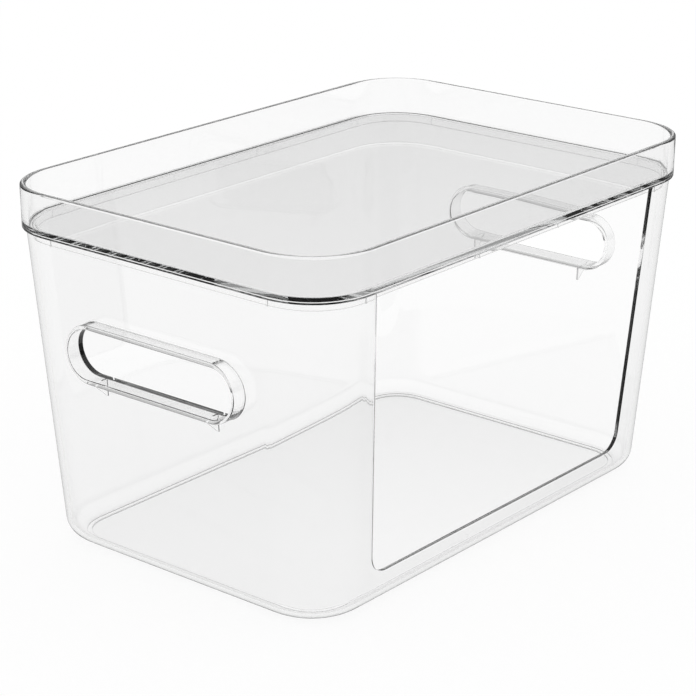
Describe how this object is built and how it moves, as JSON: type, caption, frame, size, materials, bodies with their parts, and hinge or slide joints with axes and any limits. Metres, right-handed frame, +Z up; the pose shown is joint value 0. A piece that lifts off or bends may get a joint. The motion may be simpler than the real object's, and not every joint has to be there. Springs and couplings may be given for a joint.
{
  "type": "storage box with lid",
  "caption": "Clear plastic storage bin with an open front, hand holes in both ends and a lift-off tray lid that other bins can stand on.",
  "frame": {"origin": "middle of the bin's base, on the surface that its foot ring stands on", "axes": "+Z up, X along the long side through both hand holes, the open front faces -Y"},
  "size_m": [0.2898, 0.194, 0.173],
  "materials": {
    "clear_bin": "clear gloss plastic",
    "clear_lid": "clear gloss plastic"
  },
  "bodies": {
    "bin": {"bin_body": "clear_bin"},
    "lid": {"lid": "clear_lid"}
  },
  "joints": [
    {"name": "lid_lift", "type": "slide", "parent": "bin", "child": "lid", "axis": [0, 0, 1], "range_m": [0, 0.08]}
  ]
}
